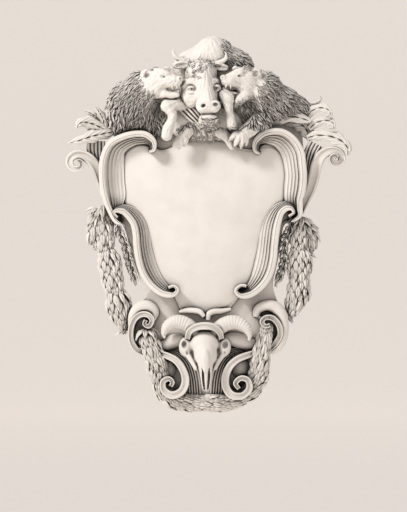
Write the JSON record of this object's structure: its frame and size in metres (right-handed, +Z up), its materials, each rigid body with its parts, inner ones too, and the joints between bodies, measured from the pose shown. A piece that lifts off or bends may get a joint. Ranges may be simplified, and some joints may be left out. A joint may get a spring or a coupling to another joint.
{
  "type": "carved wall cartouche",
  "caption": "Carved stone wall cartouche: blank swelling shield in fluted scrolls, bears and bull crest above, ox skull and laurel festoons below, flat back.",
  "frame": {"origin": "on the flat back (the wall face), behind the middle of the shield", "axes": "+Z up; the carved front faces -Y and the wall face is the plane y = 0, facing +Y; +X is to the right for someone looking at the front"},
  "size_m": [0.9111, 0.1975, 1.1987],
  "materials": {
    "stone": "dry honed limestone, weathered darker in the hollows"
  },
  "bodies": {
    "root": {"cartouche": "stone"}
  },
  "joints": []
}
